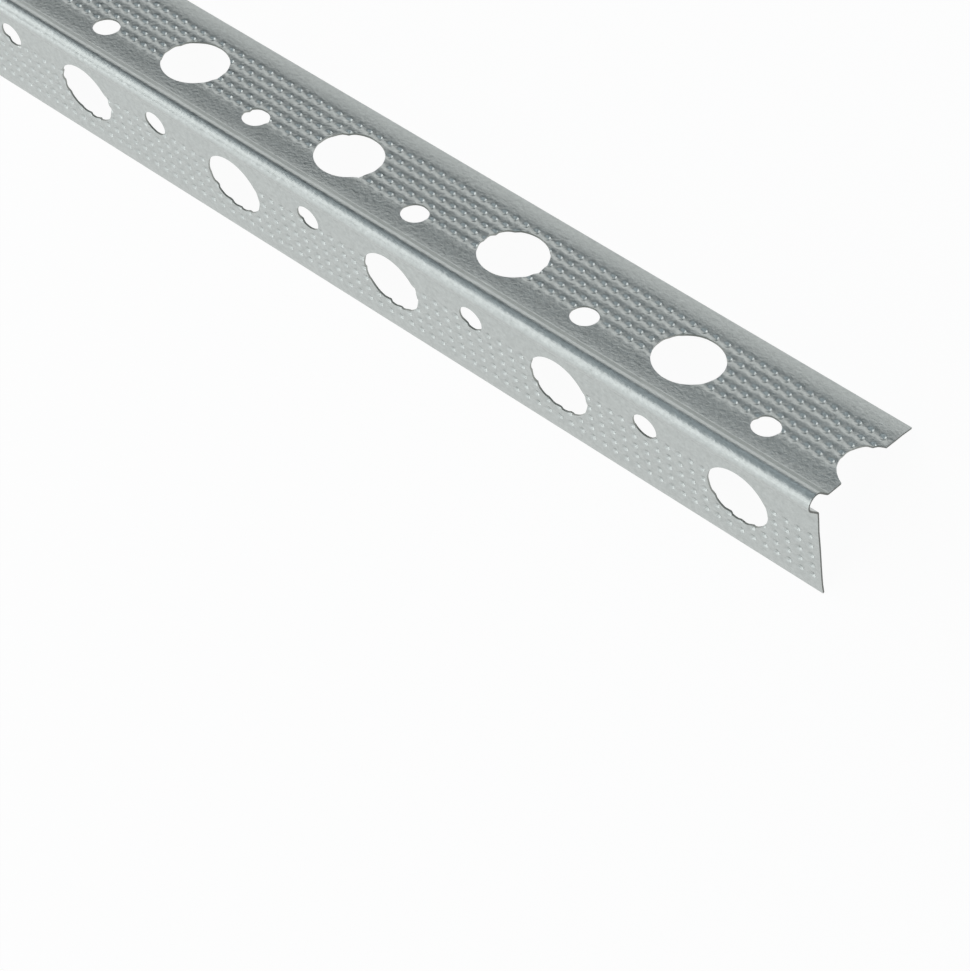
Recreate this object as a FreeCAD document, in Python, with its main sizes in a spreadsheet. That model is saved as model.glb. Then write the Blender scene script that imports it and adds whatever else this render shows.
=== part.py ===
import FreeCAD, Part
import os
import math
import Sketcher
from FreeCAD import Vector

# Plaster corner bead: a strip of galvanised sheet steel, folded along its middle
# into two perforated legs that meet in a round nose.
#
# Frame, in millimetres: X runs along the length, Y across, Z up. The bead lies as
# it does on a floor, on the free edges of both legs with the nose on top. The
# origin is at the middle of the length, at floor level, below the nose.

# Sizes of the bead
SIZES = (
    ("length", 2438.0),
    ("leg_width", 31.7),
    ("sheet_thickness", 0.45),
    ("included_angle", 77.2),
    ("nose_radius", 2.4),
    ("nose_rise", 0.45),
    ("bend_radius", 0.8),
    ("hole_pitch", 50.0),
    ("pair_step", 25.0),
    ("large_radius", 8.15),
    ("small_radius", 3.3),
    ("rim_line", 7.35),
    ("first_left", -3.2),
    ("first_right", 21.8),
    ("pair_count", 49.0),
)
value = dict(SIZES)
HALF_ANGLE = math.radians(value["included_angle"] / 2)

doc = FreeCAD.newDocument("corner_bead")
sheet = doc.addObject("Spreadsheet::Sheet", "sizes")
for row, (name, size) in enumerate(SIZES, start=1):
    sheet.set(f"A{row}", name)
    sheet.set(f"B{row}", str(size))
    sheet.setAlias(f"B{row}", name)
row = len(SIZES) + 1
sheet.set(f"A{row}", "corner_height")
sheet.set(
    f"B{row}",
    "=leg_width * cos(included_angle / 2 * 1deg)"
    " + sheet_thickness * sin(included_angle / 2 * 1deg)",
)
sheet.setAlias(f"B{row}", "corner_height")
doc.recompute()

body = doc.addObject("PartDesign::Body", "corner_bead")
origin = {feature.Role: feature for feature in body.Origin.OriginFeatures}


def new_sketch(name, plane, offset, expressions):
    """A sketch on one of the body's origin planes, offset from it by expressions."""
    made = body.newObject("Sketcher::SketchObject", name)
    made.AttachmentSupport = (origin[plane], [""])
    made.MapMode = "FlatFace"
    made.AttachmentOffset = offset
    for path, expression in expressions.items():
        made.setExpression("AttachmentOffset." + path, expression)
    doc.recompute()
    return made


# Half of the section: one leg, the bend beside the nose, the nose's straight side
# and a quarter of its round. The sketch's origin is the corner in which the outer
# faces of the two legs would meet. The round's centre stands a little above it.
section = new_sketch(
    "half_section",
    "YZ_Plane",
    FreeCAD.Placement(),
    {"Base.y": "sizes.corner_height", "Base.z": "-sizes.length / 2"},
)
thickness = value["sheet_thickness"]
outer_nose = value["nose_radius"]
inner_nose = outer_nose - thickness
outer_bend = value["bend_radius"]
inner_bend = outer_bend + thickness
along = Vector(math.sin(HALF_ANGLE), -math.cos(HALF_ANGLE), 0)
normal = Vector(math.cos(HALF_ANGLE), math.sin(HALF_ANGLE), 0)
centre_y = outer_nose + outer_bend
centre_z = (outer_bend - centre_y * normal.x) / normal.y
bend_centre = Vector(centre_y, centre_z, 0)
rise = value["nose_rise"]
nose_centre = Vector(0, rise, 0)
up = Vector(0, 0, 1)


def arc(centre, radius, start, end):
    circle = Part.Circle(centre, up, radius)
    return Part.ArcOfCircle(circle, start, end)


outer_edge = along * value["leg_width"]
inner_edge = outer_edge - normal * thickness
outer_leg_end = bend_centre - normal * outer_bend
inner_leg_end = bend_centre - normal * inner_bend
outer_side_end = bend_centre - Vector(outer_bend, 0, 0)
inner_side_end = bend_centre - Vector(inner_bend, 0, 0)
OUTER_LEG, OUTER_BEND, OUTER_SIDE, OUTER_CAP, MIDDLE = range(5)
INNER_CAP, INNER_SIDE, INNER_BEND, INNER_LEG, FREE_EDGE = range(5, 10)
section.addGeometry(Part.LineSegment(outer_edge, outer_leg_end))
section.addGeometry(arc(bend_centre, outer_bend, math.pi, math.pi + HALF_ANGLE))
section.addGeometry(Part.LineSegment(outer_side_end, Vector(outer_nose, rise, 0)))
section.addGeometry(arc(nose_centre, outer_nose, 0, math.pi / 2))
section.addGeometry(
    Part.LineSegment(Vector(0, rise + outer_nose, 0), Vector(0, rise + inner_nose, 0))
)
section.addGeometry(arc(nose_centre, inner_nose, 0, math.pi / 2))
section.addGeometry(Part.LineSegment(Vector(inner_nose, rise, 0), inner_side_end))
section.addGeometry(arc(bend_centre, inner_bend, math.pi, math.pi + HALF_ANGLE))
section.addGeometry(Part.LineSegment(inner_leg_end, inner_edge))
section.addGeometry(Part.LineSegment(inner_edge, outer_edge))

START, END, CENTRE = 1, 2, 3
ORIGIN_POINT, VERTICAL_AXIS = (-1, 1), -2
TANGENT_JOINTS = (
    (OUTER_LEG, END, OUTER_BEND, END),
    (OUTER_BEND, START, OUTER_SIDE, START),
    (OUTER_SIDE, END, OUTER_CAP, START),
    (INNER_CAP, START, INNER_SIDE, START),
    (INNER_SIDE, END, INNER_BEND, START),
    (INNER_BEND, END, INNER_LEG, START),
)
PLAIN_JOINTS = (
    (OUTER_CAP, END, MIDDLE, START),
    (MIDDLE, END, INNER_CAP, END),
    (INNER_LEG, END, FREE_EDGE, START),
    (FREE_EDGE, END, OUTER_LEG, START),
    (OUTER_BEND, CENTRE, INNER_BEND, CENTRE),
    (OUTER_CAP, CENTRE, INNER_CAP, CENTRE),
)
for joint in TANGENT_JOINTS:
    section.addConstraint(Sketcher.Constraint("Tangent", *joint))
for joint in PLAIN_JOINTS:
    section.addConstraint(Sketcher.Constraint("Coincident", *joint))
section.addConstraint(Sketcher.Constraint("Vertical", MIDDLE))
section.addConstraint(Sketcher.Constraint("Vertical", OUTER_SIDE))
for point in (END, CENTRE):
    section.addConstraint(
        Sketcher.Constraint("PointOnObject", OUTER_CAP, point, VERTICAL_AXIS)
    )
section.addConstraint(Sketcher.Constraint("PointOnObject", *ORIGIN_POINT, OUTER_LEG))
section.addConstraint(Sketcher.Constraint("Perpendicular", FREE_EDGE, OUTER_LEG))


def bind(sketch, constraint, expression):
    """Adds a constraint whose size comes from the sheet."""
    index = sketch.addConstraint(constraint)
    sketch.setExpression(f"Constraints[{index}]", expression)


bind(
    section,
    Sketcher.Constraint("Radius", OUTER_CAP, outer_nose),
    "sizes.nose_radius * 1mm",
)
bind(
    section,
    Sketcher.Constraint("DistanceY", *ORIGIN_POINT, OUTER_CAP, CENTRE, rise),
    "sizes.nose_rise * 1mm",
)
bind(
    section,
    Sketcher.Constraint("Radius", INNER_CAP, inner_nose),
    "(sizes.nose_radius - sizes.sheet_thickness) * 1mm",
)
bind(
    section,
    Sketcher.Constraint("Radius", OUTER_BEND, outer_bend),
    "sizes.bend_radius * 1mm",
)
bind(
    section,
    Sketcher.Constraint("Distance", *ORIGIN_POINT, OUTER_LEG, START, value["leg_width"]),
    "sizes.leg_width * 1mm",
)
bind(
    section,
    Sketcher.Constraint("Angle", OUTER_LEG, END, OUTER_SIDE, START, math.pi - HALF_ANGLE),
    "180deg - sizes.included_angle / 2 * 1deg",
)
doc.recompute()

# The half section is drawn out over the length and mirrored into the whole fold.
half = body.newObject("PartDesign::Pad", "half_bead")
half.Profile = section
half.setExpression("Length", "sizes.length * 1mm")
doc.recompute()
whole = body.newObject("PartDesign::Mirrored", "whole_bead")
whole.Originals = [half]
whole.MirrorPlane = (origin["XZ_Plane"], [""])
body.Tip = whole
doc.recompute()

# Each leg is punched with a row of large holes and small nail holes by turns. The
# rims of both sizes keep one line beside the nose, and the two legs are staggered
# by half a pitch. The strip is cut through one of the large holes of the -Y leg.


def punch(name, first, side):
    """One leg's pair of holes and its repeats. side is 1 for the +Y leg, else -1."""
    turn = FreeCAD.Rotation(Vector(1, 0, 0), 0)
    pair = new_sketch(
        name + "_hole_pair",
        "XY_Plane",
        FreeCAD.Placement(Vector(0, 0, 0), turn),
        {
            "Base.x": "-sizes.length / 2",
            "Base.z": "sizes.corner_height",
            "Rotation.Angle": f"{-side} * (90deg - sizes.included_angle / 2 * 1deg)",
        },
    )
    steps = (("large_radius", ""), ("small_radius", " + sizes.pair_step"))
    for index, (radius, step) in enumerate(steps):
        size = value[radius]
        shift = value["pair_step"] if step else 0.0
        place = Vector(value[first] + shift, side * (value["rim_line"] + size), 0)
        pair.addGeometry(Part.Circle(place, up, size))
        bind(pair, Sketcher.Constraint("Radius", index, size), f"sizes.{radius} * 1mm")
        bind(
            pair,
            Sketcher.Constraint("DistanceX", *ORIGIN_POINT, index, CENTRE, place.x),
            f"(sizes.{first}{step}) * 1mm",
        )
        bind(
            pair,
            Sketcher.Constraint("DistanceY", *ORIGIN_POINT, index, CENTRE, place.y),
            f"{side} * (sizes.rim_line + sizes.{radius}) * 1mm",
        )
    doc.recompute()
    cut = body.newObject("PartDesign::Pocket", name + "_punched_pair")
    cut.Profile = pair
    cut.Midplane = True
    cut.setExpression("Length", "4 * sizes.sheet_thickness * 1mm")
    body.Tip = cut
    doc.recompute()
    repeat = body.newObject("PartDesign::LinearPattern", name + "_punched_leg")
    repeat.Originals = [cut]
    repeat.Direction = (origin["X_Axis"], [""])
    repeat.setExpression("Length", "(sizes.pair_count - 1) * sizes.hole_pitch * 1mm")
    repeat.setExpression("Occurrences", "sizes.pair_count")
    body.Tip = repeat
    doc.recompute()
    return repeat


punch("left", "first_left", -1)
punch("right", "first_right", 1)

# Checks before the part is written
for thing in doc.Objects:
    for word in ("Invalid", "Error"):
        if word in thing.State:
            raise RuntimeError(f"{thing.Name} is {word}")
    if hasattr(thing, "Shape") and thing.isDerivedFrom("PartDesign::Feature"):
        if thing.Shape.isNull() or not thing.Shape.isValid():
            raise RuntimeError(f"{thing.Name} has no valid shape")
if len(body.Shape.Solids) != 1:
    raise RuntimeError("the bead is not one solid")

os.makedirs("parts", exist_ok=True)
body.Shape.exportStep("parts/corner_bead.step")
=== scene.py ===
"""Plaster corner bead: a folded strip of galvanised sheet steel. Two perforated legs,
knurled with rows of dents, meet in a round nose.

All lengths are in millimetres until a mesh is written, which is in metres. A point on
a leg is given by x, its distance from the end that the camera sees, and by s, its
distance down the leg from the corner in which the outer faces of the legs would meet.
"""

import math

import bpy
import numpy as np
from mathutils import Matrix, Vector
from mathutils.geometry import delaunay_2d_cdt


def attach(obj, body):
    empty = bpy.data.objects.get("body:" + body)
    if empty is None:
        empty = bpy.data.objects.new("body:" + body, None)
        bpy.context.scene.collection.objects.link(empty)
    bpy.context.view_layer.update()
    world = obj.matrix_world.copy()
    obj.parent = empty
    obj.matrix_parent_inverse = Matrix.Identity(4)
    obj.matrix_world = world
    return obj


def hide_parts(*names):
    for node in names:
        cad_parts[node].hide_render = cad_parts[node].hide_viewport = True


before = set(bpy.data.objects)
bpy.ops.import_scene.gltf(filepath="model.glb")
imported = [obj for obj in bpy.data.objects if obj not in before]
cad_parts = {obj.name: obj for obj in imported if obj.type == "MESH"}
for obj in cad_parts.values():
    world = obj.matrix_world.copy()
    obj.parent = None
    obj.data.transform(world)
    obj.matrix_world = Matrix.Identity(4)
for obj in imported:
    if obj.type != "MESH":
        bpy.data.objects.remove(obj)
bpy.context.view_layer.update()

# Sizes of the bead, as in the solid
LENGTH = 2438.0
LEG_WIDTH = 31.7
SHEET = 0.45
INCLUDED_ANGLE = 77.2
HALF_ANGLE = math.radians(INCLUDED_ANGLE / 2)
NOSE_RADIUS = 2.4
NOSE_RISE = 0.45
BEND_RADIUS = 0.8
HOLE_PITCH = 50.0
HALF_PITCH = HOLE_PITCH / 2
LARGE_RADIUS = 8.15
SMALL_RADIUS = 3.3
RIM_LINE = 7.35
LEFT, RIGHT = -1, 1
FIRST_LARGE = {LEFT: -3.2, RIGHT: 21.8}
SIN, COS = math.sin(HALF_ANGLE), math.cos(HALF_ANGLE)
CORNER_HEIGHT = LEG_WIDTH * COS + SHEET * SIN

# The bend beside the nose: its centre, and where the flat of a leg begins
BEND_Y = NOSE_RADIUS + BEND_RADIUS
BEND_Z = (BEND_RADIUS - BEND_Y * COS) / SIN
FLAT_START = math.hypot(BEND_Y - BEND_RADIUS * COS, BEND_Z - BEND_RADIUS * SIN)

# Knurling: rows of dents pressed in from outside by leaning teeth, so that a dent is
# steep towards the free edge and easy towards the nose. Each row lies at the foot of
# a small step, from which the sheet rises gently again to the next row. The lean goes
# from the middle of a dent's rim to its deepest place, along x and along s.
DENT_STEP = 3.2
FIRST_DENT = {LEFT: 2.15, RIGHT: 2.2}
DENT_ROWS = 5
FIRST_ROW = {LEFT: 11.8, RIGHT: 13.17}
ROW_STEP = {LEFT: 3.3, RIGHT: 3.42}
DENT_RADIUS = 1.05
DENT_DEPTH = 0.45
DENT_LEAN = (-0.28, 0.42)
DENT_EASE = 0.2
STEP_DEPTH = 0.09
STEP_BEFORE_ROW = 1.35
STEP_WIDTH = 1.1
LAST_DENT = int((LENGTH - DENT_STEP / 2 - FIRST_DENT[RIGHT]) / DENT_STEP)

# Each leg swells a little beside the nose, and its free edge is rolled over. The edge
# is trimmed, so that the swollen leg stays inside the solid's box.
CROWN_HEIGHT = 0.28
CROWN_END = 12.0
ROLL_START = 27.6
ROLL_DEPTH = 0.2
EDGE_TRIM = 0.12
FREE_EDGE = LEG_WIDTH - EDGE_TRIM

# Detail: the end that the camera sees is meshed finer than the rest. In the pairs of
# values, True is for that near part and False for the rest. Stations are places along
# the length, and lines are places down a leg.
NEAR_LENGTH = 265.0
FINE_STATIONS = np.linspace(0.0, LENGTH, 601)
EDGE_STATIONS = FINE_STATIONS[::2]
STATIONS = FINE_STATIONS[::6]
END_POINTS = 10
LARGE_SIDES = {True: 72, False: 28}
SMALL_SIDES = {True: 36, False: 14}
RIM_CLEARANCE = {True: 0.22, False: 0.42}
NOSE_LINES = (5.6, 7.0, 8.6, 10.2)
EDGE_LINES = (28.4, 29.6, 30.8)
END_CLEARANCE = 0.3
BEND_POINTS = 4
CAP_POINTS = 8

# Rings of points round a dent: how many points, and their share of the way to its rim
DENT_RINGS = ((8, 0.16), (10, 0.5), (12, 0.85), (12, 1.15))
INSIDE_RING = (6, 0.8)
FAR_RING = (4, 0.95)

# Points across a step, as shares of its width, and a point between two rows of dents,
# as a share of half their distance
STEP_SHARES = (0.0, 0.25, 0.5, 0.75, 1.0, 1.75)
BETWEEN_ROWS = 0.82

# A slope is taken over twice the nudge. Corners nearer than the weld become one, and so
# do points of a leg that are nearer than the least distance.
NUDGE = 0.001
WELD = 0.0005
LEAST_DISTANCE = 1e-5
NEARLY_ZERO = 1e-9
METRES = 0.001

# Finishes of the mesh, by the order of its materials
# The punched rims and free edges are painted lighter and the cropped ends darker, as
# painted light and painted shade.
ZINC, PUNCHED_PAINTED_LIGHT, CROPPED_PAINTED_SHADE = 0, 1, 2


def ring(count, radius):
    """Points of a circle about the origin."""
    angle = np.arange(count) * 2 * np.pi / count
    return np.stack([radius * np.cos(angle), radius * np.sin(angle)], 1)


def smooth(t):
    """Rises from 0 to 1 with level ends."""
    return t * t * (3 - 2 * t)


def holes_of(side):
    """(x, s, radius) of each hole of a leg."""
    found = []
    for first, radius in (
        (FIRST_LARGE[side], LARGE_RADIUS),
        (FIRST_LARGE[side] + HALF_PITCH, SMALL_RADIUS),
    ):
        for x in np.arange(first, LENGTH, HOLE_PITCH):
            if x + radius < LENGTH:
                found.append((x, RIM_LINE + radius, radius))
    return found


def share_of_dent(x, s):
    """How far a point lies from a dent's deepest place to its rim, which is at 1."""
    lean_x, lean_s = DENT_LEAN
    dot = x * lean_x + s * lean_s
    square = x * x + s * s
    room = DENT_RADIUS**2 - lean_x**2 - lean_s**2
    return square / np.maximum(np.sqrt(dot * dot + square * room) - dot, NEARLY_ZERO)


def dent_ring(count, share):
    """Points round a dent's deepest place, at that share of the way to its rim."""
    way = ring(count, 1.0)
    return way * (share / share_of_dent(way[:, 0], way[:, 1]))[:, None]


def relief(side, x, s):
    """Height of a leg's outer face over its plane."""
    step, row, first = ROW_STEP[side], FIRST_ROW[side], FIRST_DENT[side]
    column = np.clip(np.round((x - first) / DENT_STEP), 0, LAST_DENT)
    line = np.clip(np.round((s - row) / step), 0, DENT_ROWS - 1)
    t = 1 - share_of_dent(x - first - column * DENT_STEP, s - row - line * step)
    eased = np.maximum(t + DENT_EASE, 0) ** 2 / (4 * DENT_EASE)
    dent = np.where(t > DENT_EASE, t, eased)

    past = s - row + STEP_BEFORE_ROW
    knurled = (past > 0) & (past < DENT_ROWS * step)
    past = np.mod(past, step)
    down = smooth(past / STEP_WIDTH)
    up = smooth((past - STEP_WIDTH) / (step - STEP_WIDTH))
    sunk = knurled * np.where(past < STEP_WIDTH, down, 1 - up)

    crown = smooth(np.clip((s - FLAT_START) / (CROWN_END - FLAT_START), 0, 1))
    roll = (np.maximum(s - ROLL_START, 0) / (FREE_EDGE - ROLL_START)) ** 2
    height = CROWN_HEIGHT * crown - ROLL_DEPTH * roll
    return height - DENT_DEPTH * dent - STEP_DEPTH * sunk


def leg_vector(side, x, s, n):
    """A direction given along the length, down the leg and out of its face."""
    return np.stack([x, side * (s * SIN + n * COS), n * SIN - s * COS], -1)


def leg_point(side, x, s, n):
    """The place of a point that stands n over a leg's plane."""
    return leg_vector(side, x - LENGTH / 2, s, n) + [0, 0, CORNER_HEIGHT]


def leg_surface(side, points, inside):
    """Places and normals of points (x, s) on a leg's outer or inner face."""
    x, s = points[:, 0], points[:, 1]
    height = relief(side, x, s)
    slope_x = (relief(side, x + NUDGE, s) - relief(side, x - NUDGE, s)) / (2 * NUDGE)
    slope_s = (relief(side, x, s + NUDGE) - relief(side, x, s - NUDGE)) / (2 * NUDGE)
    normal = leg_vector(side, -slope_x, -slope_s, np.ones(len(x)))
    normal /= np.linalg.norm(normal, axis=1)[:, None]
    if inside:
        return leg_point(side, x, s, height - SHEET), -normal
    return leg_point(side, x, s, height), normal


def rim_of(hole, near):
    """A hole's rim without the part past the end, and the turn from point to point."""
    x, s, radius = hole
    sides = LARGE_SIDES[near] if radius == LARGE_RADIUS else SMALL_SIDES[near]
    if x - radius < 0:
        reach = math.acos(-x / radius)
        angle = np.linspace(-reach, reach, sides // 2)
        points = np.stack([radius * np.cos(angle), radius * np.sin(angle)], 1)
        turn = 2 * reach / (len(angle) - 1)
    else:
        points = ring(sides, radius)
        turn = 2 * math.pi / sides
    return points + [x, s], turn


def lattice(side, low, high, offsets):
    """Offsets repeated at each dent between two places along the length."""
    columns = FIRST_DENT[side] + DENT_STEP * np.arange(LAST_DENT + 1)
    columns = columns[(columns >= low) & (columns < high)]
    rows = FIRST_ROW[side] + ROW_STEP[side] * np.arange(DENT_ROWS)
    grid = np.stack(np.meshgrid(columns, rows), -1).reshape(-1, 1, 2)
    return (grid + offsets[None]).reshape(-1, 2)


def plain_points():
    """Points for the plain zones of a leg, beside the nose and beside the free edge."""
    near = FINE_STATIONS[FINE_STATIONS < NEAR_LENGTH]
    found = []
    for lines, stations in ((NOSE_LINES, STATIONS), (EDGE_LINES, EDGE_STATIONS)):
        far = stations[stations >= NEAR_LENGTH]
        grid = np.meshgrid(np.concatenate([near, far]), lines)
        found.append(np.stack(grid, -1).reshape(-1, 2))
    return np.concatenate(found)


def leg_points(side, inside):
    """Points for the triangles of a leg's face, but for its rims and borders."""
    half = np.array([DENT_STEP, ROW_STEP[side]]) / 2
    deepest = np.zeros((1, 2))
    if inside:
        near = np.concatenate([deepest, dent_ring(*INSIDE_RING)])
        far = np.stack([deepest[0], half])
    else:
        rings = [dent_ring(count, share) for count, share in DENT_RINGS]
        step_line = [[half[0], STEP_WIDTH * t - STEP_BEFORE_ROW] for t in STEP_SHARES]
        between = [[0.0, BETWEEN_ROWS * half[1]], half]
        near = np.concatenate([deepest, *rings, step_line, between])
        far = np.concatenate([deepest, dent_ring(*FAR_RING)])
    return np.concatenate(
        [
            lattice(side, 0, NEAR_LENGTH, near),
            lattice(side, NEAR_LENGTH, LENGTH, far),
            plain_points(),
        ]
    )


def clear_of_rims(points, holes):
    """The points that are in the sheet and clear of its rims and ends."""
    keep = np.ones(len(points), bool)
    for x, s, radius in holes:
        clearance = RIM_CLEARANCE[x < NEAR_LENGTH]
        keep &= np.hypot(points[:, 0] - x, points[:, 1] - s) > radius + clearance
    keep &= points[:, 0] > END_CLEARANCE
    keep &= points[:, 0] < LENGTH - END_CLEARANCE
    return points[keep]


def border_of(notch):
    """The leg's border. It runs down the near end, round a hole that this end cuts
    through, along the free edge, up the far end and back along the nose."""
    across = np.linspace(FLAT_START, FREE_EDGE, END_POINTS)
    near_end = np.stack([np.zeros(END_POINTS), across], 1)
    if notch is not None:
        arc = notch[0]
        upper = near_end[near_end[:, 1] < arc[0, 1] - END_CLEARANCE]
        lower = near_end[near_end[:, 1] > arc[-1, 1] + END_CLEARANCE]
        near_end = np.concatenate([upper, arc, lower])
    edge_x = EDGE_STATIONS[1:]
    edge = np.stack([edge_x, np.full(len(edge_x), FREE_EDGE)], 1)
    far_end = np.stack([np.full(END_POINTS - 1, LENGTH), across[::-1][1:]], 1)
    nose_x = STATIONS[::-1][1:-1]
    nose_line = np.stack([nose_x, np.full(len(nose_x), FLAT_START)], 1)
    return np.concatenate([near_end, edge, far_end, nose_line])


class Skin:
    """Collects triangles with the normals of their corners and their finish."""

    def __init__(self):
        self.corners, self.normals, self.finishes = [], [], []

    def add(self, corners, normals, finish):
        """Turns each triangle so that it faces the way that its normals point."""
        corners, normals = np.array(corners, float), np.array(normals, float)
        facing = np.cross(corners[:, 1] - corners[:, 0], corners[:, 2] - corners[:, 0])
        wrong = (facing * normals.sum(1)).sum(1) < 0
        corners[wrong] = corners[wrong][:, ::-1]
        normals[wrong] = normals[wrong][:, ::-1]
        self.corners.append(corners)
        self.normals.append(normals)
        self.finishes.append(np.full(len(corners), finish))

    def add_strip(self, one, other, normal_one, normal_other, finish):
        """A band of triangles between two lines with as many points."""
        places = [one[:-1], one[1:], other[1:], other[:-1]]
        normals = [normal_one[:-1], normal_one[1:], normal_other[1:], normal_other[:-1]]
        for half in ((0, 1, 2), (0, 2, 3)):
            self.add(
                np.stack([places[i] for i in half], 1),
                np.stack([normals[i] for i in half], 1),
                finish,
            )


def closed(points):
    """A loop of points with its first point again at the end."""
    return np.concatenate([points, points[:1]])


def add_wall(skin, side, line, normals, finish):
    """The sheet's own thickness along a line (x, s) on a leg."""
    outer, _ = leg_surface(side, line, False)
    inner, _ = leg_surface(side, line, True)
    skin.add_strip(outer, inner, normals, normals, finish)


def add_rim_wall(skin, side, line, hole):
    """The wall of a hole, which faces the hole's middle."""
    x, s, radius = hole
    toward = (np.array([x, s]) - line) / radius
    facing = leg_vector(side, toward[:, 0], toward[:, 1], np.zeros(len(line)))
    add_wall(skin, side, line, facing, PUNCHED_PAINTED_LIGHT)


def add_flat_wall(skin, side, line, x, s, finish):
    """A wall along a line, which faces (x, s) all along."""
    facing = leg_vector(side, *np.full((len(line), 3), [x, s, 0.0]).T)
    add_wall(skin, side, line, facing, finish)


def add_leg(skin, side):
    """One leg: its two faces, the walls of its holes and its cut edges."""
    holes = holes_of(side)
    rims, notch, openings = [], None, []
    for hole in holes:
        x, s, radius = hole
        points, turn = rim_of(hole, x < NEAR_LENGTH)
        openings.append((x, s, radius * math.cos(turn / 2)))
        if x - radius < 0:
            notch = (points, hole)
        else:
            rims.append((points, hole))
    border = border_of(notch)
    loops = [border] + [points for points, _ in rims]
    starts = np.cumsum([0] + [len(loop) for loop in loops])
    edges = []
    for start, loop in zip(starts, loops):
        index = np.arange(len(loop))
        edges += np.stack([start + index, start + (index + 1) % len(loop)], 1).tolist()
    fixed = np.concatenate(loops)

    for inside in (False, True):
        free = clear_of_rims(leg_points(side, inside), holes)
        points = np.concatenate([fixed, free])
        flat = [Vector(p) for p in points.tolist()]
        _, _, faces, origins, _, _ = delaunay_2d_cdt(flat, edges, [], 0, LEAST_DISTANCE)
        source = np.array([found[0] for found in origins])
        faces = source[np.array(faces)]
        middle = points[faces].mean(1)
        keep = np.ones(len(faces), bool)
        for x, s, inner_radius in openings:
            keep &= np.hypot(middle[:, 0] - x, middle[:, 1] - s) > inner_radius
        faces = faces[keep]
        places, normals = leg_surface(side, points, inside)
        skin.add(places[faces], normals[faces], ZINC)

    for points, hole in rims:
        add_rim_wall(skin, side, closed(points), hole)
    near_end = border[: np.nonzero(border[:, 1] == FREE_EDGE)[0][0] + 1]
    runs = [near_end]
    if notch is not None:
        arc, hole = notch
        add_rim_wall(skin, side, arc, hole)
        first = np.nonzero((near_end == arc[0]).all(1))[0][0]
        runs = [near_end[: first + 1], near_end[first + len(arc) - 1 :]]
    for run in runs:
        add_flat_wall(skin, side, run, -1.0, 0.0, CROPPED_PAINTED_SHADE)
    far_end = border[border[:, 0] == LENGTH]
    add_flat_wall(skin, side, far_end, 1.0, 0.0, CROPPED_PAINTED_SHADE)
    edge = np.stack([EDGE_STATIONS, np.full(len(EDGE_STATIONS), FREE_EDGE)], 1)
    add_flat_wall(skin, side, edge, 0.0, 1.0, PUNCHED_PAINTED_LIGHT)


def nose_section():
    """Outer places and normals (y, z) of the nose, from the left leg to the right."""
    bend = np.linspace(np.pi + HALF_ANGLE, np.pi, BEND_POINTS)
    cap = np.linspace(0, np.pi / 2, CAP_POINTS)
    bend_normal = -np.stack([np.cos(bend), np.sin(bend)], 1)
    cap_normal = np.stack([np.cos(cap), np.sin(cap)], 1)
    half = np.concatenate(
        [
            [BEND_Y, BEND_Z] - BEND_RADIUS * bend_normal,
            [0.0, NOSE_RISE] + NOSE_RADIUS * cap_normal,
        ]
    )
    half_normal = np.concatenate([bend_normal, cap_normal])
    flip = np.array([-1.0, 1.0])
    places = np.concatenate([half * flip, half[:-1][::-1]])
    normals = np.concatenate([half_normal * flip, half_normal[:-1][::-1]])
    return places, normals


def add_nose(skin):
    """The round nose with its straight sides and the bends beside it."""
    outer, normal = nose_section()
    inner = outer - SHEET * normal
    count = len(STATIONS)

    def along(point):
        x = STATIONS - LENGTH / 2
        y = np.full(count, point[0])
        z = np.full(count, point[1] + CORNER_HEIGHT)
        return np.stack([x, y, z], 1)

    def facing(vector):
        return np.repeat([[0.0, vector[0], vector[1]]], count, 0)

    for i in range(len(outer) - 1):
        for line, sign in ((outer, 1), (inner, -1)):
            skin.add_strip(
                along(line[i]),
                along(line[i + 1]),
                facing(sign * normal[i]),
                facing(sign * normal[i + 1]),
                ZINC,
            )
    for x, way in ((-LENGTH / 2, -1.0), (LENGTH / 2, 1.0)):
        lines = []
        for line in (outer, inner):
            place = np.concatenate([np.full((len(line), 1), x), line], 1)
            lines.append(place + [0, 0, CORNER_HEIGHT])
        normals = np.repeat([[way, 0.0, 0.0]], len(outer), 0)
        skin.add_strip(*lines, normals, normals, CROPPED_PAINTED_SHADE)


def build(skin, name):
    """The mesh object of a skin, with its corners welded."""
    corners = np.concatenate(skin.corners).reshape(-1, 3)
    normals = np.concatenate(skin.normals)
    finishes = np.concatenate(skin.finishes)
    _, first, index = np.unique(
        np.round(corners / WELD).astype(np.int64),
        axis=0,
        return_index=True,
        return_inverse=True,
    )
    faces = index.reshape(-1, 3)
    real = (faces != np.roll(faces, 1, 1)).all(1)
    faces, normals, finishes = faces[real], normals[real], finishes[real]
    mesh = bpy.data.meshes.new(name)
    mesh.from_pydata((corners[first] * METRES).tolist(), [], faces.tolist())
    mesh.polygons.foreach_set("material_index", finishes.astype(np.int32))
    mesh.polygons.foreach_set("use_smooth", np.ones(len(faces), bool))
    mesh.normals_split_custom_set(normals.reshape(-1, 3).tolist())
    mesh.update()
    made = bpy.data.objects.new(name, mesh)
    bpy.context.scene.collection.objects.link(made)
    return made


def linear(code):
    """An sRGB hex colour as linear RGBA."""
    parts = [int(code[i : i + 2], 16) / 255 for i in (1, 3, 5)]
    return (
        *(c / 12.92 if c <= 0.04045 else ((c + 0.055) / 1.055) ** 2.4 for c in parts),
        1.0,
    )


def add_node(tree, kind, settings=None, inputs=None):
    """Adds a node. An input's value is a constant or another node's output socket."""
    node = tree.nodes.new(kind)
    for name, setting in (settings or {}).items():
        setattr(node, name, setting)
    for name, given in (inputs or {}).items():
        if isinstance(given, bpy.types.NodeSocket):
            tree.links.new(given, node.inputs[name])
        else:
            node.inputs[name].default_value = given
    return node


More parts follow.
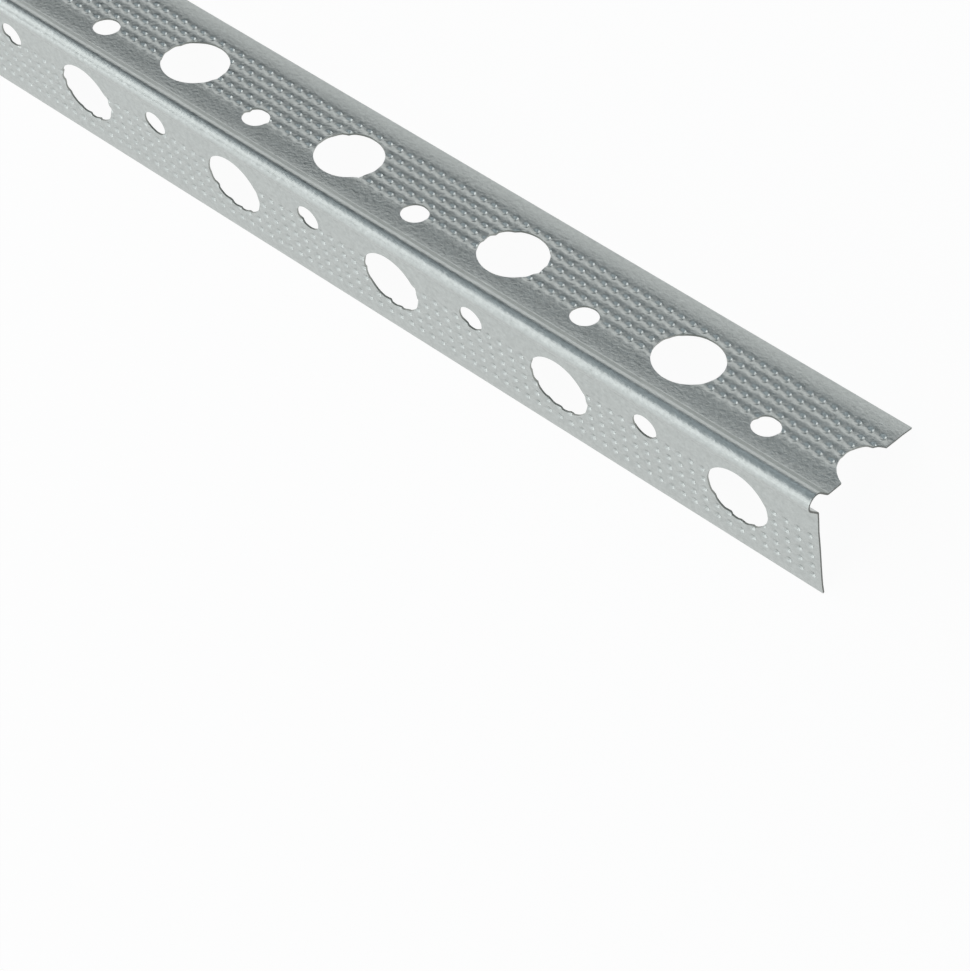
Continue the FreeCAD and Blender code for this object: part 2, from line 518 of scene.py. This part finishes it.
def new_material(name):
    """A material with an empty node tree, and that tree."""
    material = bpy.data.materials.new(name)
    material.use_nodes = True
    material.node_tree.nodes.clear()
    return material, material.node_tree


def per_mm(size):
    """A texture's scale for features of that many millimetres."""
    return 1000.0 / size


# Zinc: the size of its crystals, and the size and height of its uneven places, all in
# millimetres. Most of a noise's values lie in the range, over which the crystals go from
# the first tone and dullness to the second.
CRYSTAL_SIZE = 1.2
UNEVEN_SIZE = 0.8
UNEVEN_HEIGHT = 0.075
NOISE_RANGE = (0.3, 0.7)
ZINC_TONES = ("#ACB1AF", "#C1C6C4")
ZINC_DULLNESS = (0.29, 0.36)

# Bare steel: the size of its streaks in millimetres, and its dullness
STREAK_SIZE = 0.6
STEEL_DULLNESS = 0.5


def galvanised_steel():
    """Steel strip drawn through molten zinc, which froze in small crystals. It shows
    blurred reflections, mottled because the crystals differ in tone and lie unevenly."""
    material, tree = new_material("hot-dip galvanised steel")
    place = add_node(tree, "ShaderNodeTexCoord").outputs["Object"]
    crystals = add_node(
        tree,
        "ShaderNodeTexNoise",
        inputs={
            "Vector": place,
            "Scale": per_mm(CRYSTAL_SIZE),
            "Detail": 4.0,
            "Roughness": 0.7,
        },
    )
    tone = add_node(tree, "ShaderNodeValToRGB", inputs={"Fac": crystals.outputs["Fac"]})
    for stop, position, code in zip(tone.color_ramp.elements, NOISE_RANGE, ZINC_TONES):
        stop.position = position
        stop.color = linear(code)
    dull = add_node(
        tree,
        "ShaderNodeMapRange",
        inputs={
            "Value": crystals.outputs["Fac"],
            "From Min": NOISE_RANGE[0],
            "From Max": NOISE_RANGE[1],
            "To Min": ZINC_DULLNESS[0],
            "To Max": ZINC_DULLNESS[1],
        },
    )
    lie = add_node(
        tree,
        "ShaderNodeTexNoise",
        inputs={
            "Vector": place,
            "Scale": per_mm(UNEVEN_SIZE),
            "Detail": 2.0,
            "Roughness": 0.6,
        },
    )
    uneven = add_node(
        tree,
        "ShaderNodeBump",
        inputs={
            "Strength": 1.0,
            "Distance": UNEVEN_HEIGHT * METRES,
            "Height": lie.outputs["Fac"],
        },
    )
    shader = add_node(
        tree,
        "ShaderNodeBsdfPrincipled",
        inputs={
            "Base Color": tone.outputs["Color"],
            "Metallic": 1.0,
            "Roughness": dull.outputs["Result"],
            "Normal": uneven.outputs["Normal"],
        },
    )
    add_node(tree, "ShaderNodeOutputMaterial", inputs={"Surface": shader.outputs["BSDF"]})
    return material


def bare_steel(name, dark, light):
    """Steel laid bare where the sheet was cut: the tool leaves it matt and streaky."""
    material, tree = new_material(name)
    place = add_node(tree, "ShaderNodeTexCoord").outputs["Object"]
    streak = add_node(
        tree,
        "ShaderNodeTexNoise",
        inputs={"Vector": place, "Scale": per_mm(STREAK_SIZE), "Detail": 2.0},
    )
    tone = add_node(tree, "ShaderNodeValToRGB", inputs={"Fac": streak.outputs["Fac"]})
    tone.color_ramp.elements[0].color = linear(dark)
    tone.color_ramp.elements[1].color = linear(light)
    shader = add_node(
        tree,
        "ShaderNodeBsdfPrincipled",
        inputs={
            "Base Color": tone.outputs["Color"],
            "Metallic": 1.0,
            "Roughness": STEEL_DULLNESS,
        },
    )
    add_node(tree, "ShaderNodeOutputMaterial", inputs={"Surface": shader.outputs["BSDF"]})
    return material


skin = Skin()
add_leg(skin, LEFT)
add_leg(skin, RIGHT)
add_nose(skin)
bead = build(skin, "bead")
# In the order of the finishes. The cropped ends are painted darker than the rims of the
# punched holes and the slit free edges: painted shade for the dark line along the cut
# ends. The rims and free edges are painted lighter, as painted light against the shade
# along them.
bead.data.materials.append(galvanised_steel())
bead.data.materials.append(bare_steel("punched steel rim, painted light", "#8E918D", "#B4B7B3"))
bead.data.materials.append(bare_steel("cropped steel end, painted shade", "#4E504D", "#868884"))
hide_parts("corner_bead")
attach(bead, "root")


# The floor's reach, in metres, and the share of plain white in it
FLOOR_REACH = 60.0
FLOOR_WHITE = 0.95


def white_floor():
    """Matt white paint. It is white to the camera and in the metal, and keeps a light
    shadow of what stands on it."""
    material, tree = new_material("white painted floor")
    path = add_node(tree, "ShaderNodeLightPath")
    shown = path.outputs["Is Camera Ray"]
    for other in ("Is Glossy Ray", "Is Transmission Ray"):
        either = add_node(
            tree,
            "ShaderNodeMath",
            {"operation": "MAXIMUM"},
            {0: shown, 1: path.outputs[other]},
        )
        shown = either.outputs["Value"]
    share = add_node(
        tree, "ShaderNodeMath", {"operation": "MULTIPLY"}, {0: shown, 1: FLOOR_WHITE}
    )
    paint = add_node(tree, "ShaderNodeBsdfDiffuse", inputs={"Color": linear("#F2F2F2")})
    glow = add_node(
        tree,
        "ShaderNodeEmission",
        inputs={"Color": linear("#FFFFFF"), "Strength": 1.0},
    )
    both = add_node(
        tree,
        "ShaderNodeMixShader",
        inputs={
            0: share.outputs["Value"],
            1: paint.outputs["BSDF"],
            2: glow.outputs["Emission"],
        },
    )
    add_node(tree, "ShaderNodeOutputMaterial", inputs={"Surface": both.outputs["Shader"]})
    return material


signs = [(-1, -1), (1, -1), (1, 1), (-1, 1)]
floor_corners = [(x * FLOOR_REACH, y * FLOOR_REACH, 0.0) for x, y in signs]
floor_mesh = bpy.data.meshes.new("floor")
floor_mesh.from_pydata(floor_corners, [], [(0, 1, 2, 3)])
floor_mesh.materials.append(white_floor())
floor = bpy.data.objects.new("floor", floor_mesh)
bpy.context.scene.collection.objects.link(floor)

# Light: a dim blue room with soft boxes in it. Places and sizes are in metres, and
# a brightness of 1 is white. Two of the boxes lie aslant over the bead, turned by that
# many degrees.
WHITE, PALE_BLUE, BLUE = "#FFFFFF", "#EAF4FA", "#CCE8FA"
ROOM_BRIGHTNESS = 0.08
ASLANT = 53.9
world = bpy.data.worlds.new("studio")
world.use_nodes = True
room = world.node_tree.nodes["Background"]
room.inputs["Color"].default_value = linear(BLUE)
room.inputs["Strength"].default_value = ROOM_BRIGHTNESS
bpy.context.scene.world = world


def soft_box(name, place, aim, turn, size, brightness, colour):
    """A lamp with an even face, turned about the line along which it shines."""
    lamp = bpy.data.lights.new(name, "AREA")
    lamp.shape = "RECTANGLE"
    lamp.size, lamp.size_y = size
    lamp.energy = brightness * math.pi * size[0] * size[1]
    lamp.color = linear(colour)[:3]
    made = bpy.data.objects.new(name, lamp)
    bpy.context.scene.collection.objects.link(made)
    facing = (Vector(aim) - Vector(place)).to_track_quat("-Z", "Y").to_matrix()
    made.matrix_world = (
        Matrix.Translation(place)
        @ facing.to_4x4()
        @ Matrix.Rotation(math.radians(turn), 4, "Z")
    )
    made.visible_camera = False


soft_box("overhead", (-0.19, 0.05, 1), (-0.19, 0.05, 0), ASLANT, (0.8, 2.4), 1.48, WHITE)
soft_box("ceiling", (-0.9, -0.92, 1), (-0.9, -0.92, 0), ASLANT, (1.6, 2.6), 0.42, PALE_BLUE)
soft_box("right_wall", (0.4, 1.9, 1.2), (0.4, 0, 1.2), 0, (4.0, 2.4), 1.12, WHITE)
soft_box("left_fill", (-1.15, -1.0, 0.5), (-1.1, 0, 0.2), 0, (1.0, 0.5), 0.6, PALE_BLUE)
soft_box("far_wall", (2.2, 0.2, 1.4), (0, 0.2, 1.4), 0, (5.4, 2.6), 1.1, WHITE)

# Camera: over the near end, as in the photograph. Its place and the reach of its sight
# are in metres, its turn is in degrees, and its lens and sensor are in millimetres.
CAMERA_PLACE = (-1.48987, -0.10041, 0.63353)
CAMERA_TURN = (4.9521, 30.7144, -148.8045)
CAMERA_LENS = 123.296
SENSOR_WIDTH = 36.0
SIGHT_START = 0.01
SIGHT_END = 200.0
camera_data = bpy.data.cameras.new("camera")
camera_data.sensor_width = SENSOR_WIDTH
camera_data.lens = CAMERA_LENS
camera_data.clip_start = SIGHT_START
camera_data.clip_end = SIGHT_END
camera = bpy.data.objects.new("camera", camera_data)
camera.location = CAMERA_PLACE
camera.rotation_euler = [math.radians(angle) for angle in CAMERA_TURN]
bpy.context.scene.collection.objects.link(camera)
bpy.context.scene.camera = camera
bpy.context.scene.view_settings.view_transform = "Standard"
